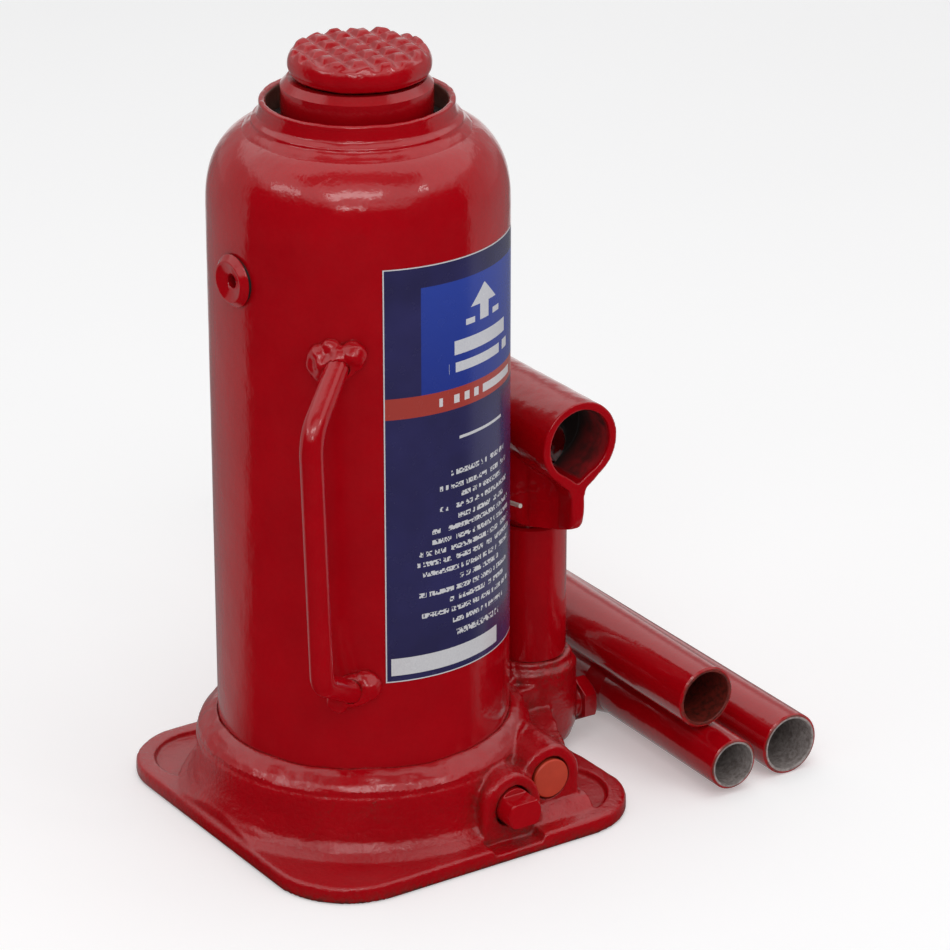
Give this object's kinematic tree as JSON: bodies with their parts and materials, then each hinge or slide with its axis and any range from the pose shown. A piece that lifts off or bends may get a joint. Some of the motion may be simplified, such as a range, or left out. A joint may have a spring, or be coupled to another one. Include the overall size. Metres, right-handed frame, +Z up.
{
  "type": "hydraulic bottle jack",
  "caption": "Welded hydraulic bottle jack with ram, extension screw and waffle saddle, side pump with handle socket, release valve, carry handle and a sectional pumping handle.",
  "frame": {"origin": "underside of the base plate on the lifting axis", "axes": "+Z up along the ram; -Y is the front with the release valve; the pump stands at +X"},
  "size_m": [0.1836, 0.2369, 0.2402],
  "materials": {
    "red_enamel": "glossy red enamel",
    "red_cast_enamel": "glossy red enamel over rough casting",
    "machined_steel": "turned bare steel",
    "black_oxide_steel": "blackened steel",
    "zinc_wire": "zinc plated wire",
    "seal_rubber": "black seal rubber",
    "copper_gasket": "soft copper",
    "orange_plastic": "orange-red plastic",
    "printed_label": "printed film"
  },
  "bodies": {
    "jack_body": {"base": "red_cast_enamel", "base_weld_bead": "red_cast_enamel", "reservoir_tube": "red_enamel", "filler_seal": "seal_rubber", "cylinder_gasket": "copper_gasket", "hydraulic_cylinder": "machined_steel", "head_gasket": "copper_gasket", "head_nut": "red_enamel", "ram_seal": "seal_rubber", "seal_retaining_ring": "machined_steel", "pump_cylinder": "red_enamel", "pump_gasket": "copper_gasket", "pump_wiper_seal": "seal_rubber", "carry_handle": "red_enamel", "carry_handle_welds": "red_cast_enamel", "label": "printed_label", "overload_cap": "orange_plastic", "overload_screw": "machined_steel", "overload_spring": "machined_steel", "overload_ball": "machined_steel", "suction_plug": "red_enamel", "suction_ball": "machined_steel", "suction_screen": "machined_steel"},
    "ram": {"ram": "red_enamel", "piston": "machined_steel", "piston_cup_seal": "seal_rubber", "piston_washer": "machined_steel", "piston_nut": "machined_steel"},
    "extension_screw": {"extension_screw": "machined_steel"},
    "saddle": {"saddle": "red_enamel"},
    "pump_link": {"link_plates": "red_enamel", "link_pin": "black_oxide_steel", "link_split_pin": "zinc_wire"},
    "rocker": {"handle_socket": "red_enamel", "fulcrum_pin": "black_oxide_steel", "fulcrum_split_pin": "zinc_wire"},
    "pump_plunger": {"pump_plunger": "machined_steel", "plunger_cup_seal": "seal_rubber", "plunger_pin": "black_oxide_steel", "plunger_split_pin": "zinc_wire"},
    "release_ball": {"release_valve_ball": "machined_steel", "release_o_ring": "seal_rubber"},
    "release_stem": {"release_valve_stem": "red_enamel"},
    "filler_plug": {"filler_plug": "red_enamel"},
    "handle_upper": {"handle_upper_tube": "red_enamel"},
    "handle_middle": {"handle_middle_tube": "red_enamel"},
    "handle_lower": {"handle_lower_tube": "red_enamel"}
  },
  "joints": [
    {"name": "ram_lift", "type": "slide", "parent": "jack_body", "child": "ram", "axis": [0, 0, 1], "range_m": [0, 0.145]},
    {"name": "screw_rise", "type": "slide", "parent": "ram", "child": "extension_screw", "axis": [0, 0, 1], "range_m": [0, 0.08]},
    {"name": "saddle_turn", "type": "hinge", "parent": "extension_screw", "child": "saddle", "pos_m": [0, 0, 0.2355], "axis": [0, 0, 1], "range_deg": [0, 7200]},
    {"name": "link_swing", "type": "hinge", "parent": "jack_body", "child": "pump_link", "pos_m": [0.061, 0.0195, 0.022], "axis": [1, 0, 0], "range_deg": [0, 1.4]},
    {"name": "rocker_tilt", "type": "hinge", "parent": "pump_link", "child": "rocker", "pos_m": [0.061, 0.0195, 0.0932], "axis": [-1, 0, 0], "range_deg": [0, 40]},
    {"name": "plunger_stroke", "type": "slide", "parent": "jack_body", "child": "pump_plunger", "axis": [0, 0, 1], "range_m": [0, 0.0129]},
    {"name": "release_travel", "type": "slide", "parent": "jack_body", "child": "release_ball", "axis": [0, -1, 0], "range_m": [0, 0.00187]},
    {"name": "release_turn", "type": "hinge", "parent": "release_ball", "child": "release_stem", "pos_m": [0.0173, -0.056, 0.0144], "axis": [0, -1, 0], "range_deg": [0, 540]},
    {"name": "filler_pull", "type": "slide", "parent": "jack_body", "child": "filler_plug", "axis": [-0.9963, -0.0854, 0], "range_m": [0, 0.014]},
    {"name": "handle_upper_slide", "type": "slide", "parent": "jack_body", "child": "handle_upper", "axis": [0, -0.9998, -0.0175], "range_m": [0, 0.2]},
    {"name": "handle_middle_slide", "type": "slide", "parent": "jack_body", "child": "handle_middle", "axis": [-0.0105, -0.9999, 0], "range_m": [0, 0.2]},
    {"name": "handle_lower_slide", "type": "slide", "parent": "jack_body", "child": "handle_lower", "axis": [0.0227, 0.9997, 0], "range_m": [0, 0.2]}
  ],
  "couplings": [
    {"joint": "saddle_turn", "follows": "screw_rise", "rad_per_m": 1570.8},
    {"joint": "rocker_tilt", "follows": "plunger_stroke", "rad_per_m": 54.112},
    {"joint": "link_swing", "follows": "plunger_stroke", "rad_per_m": 1.7765},
    {"joint": "release_turn", "follows": "release_travel", "rad_per_m": 5026.5}
  ]
}
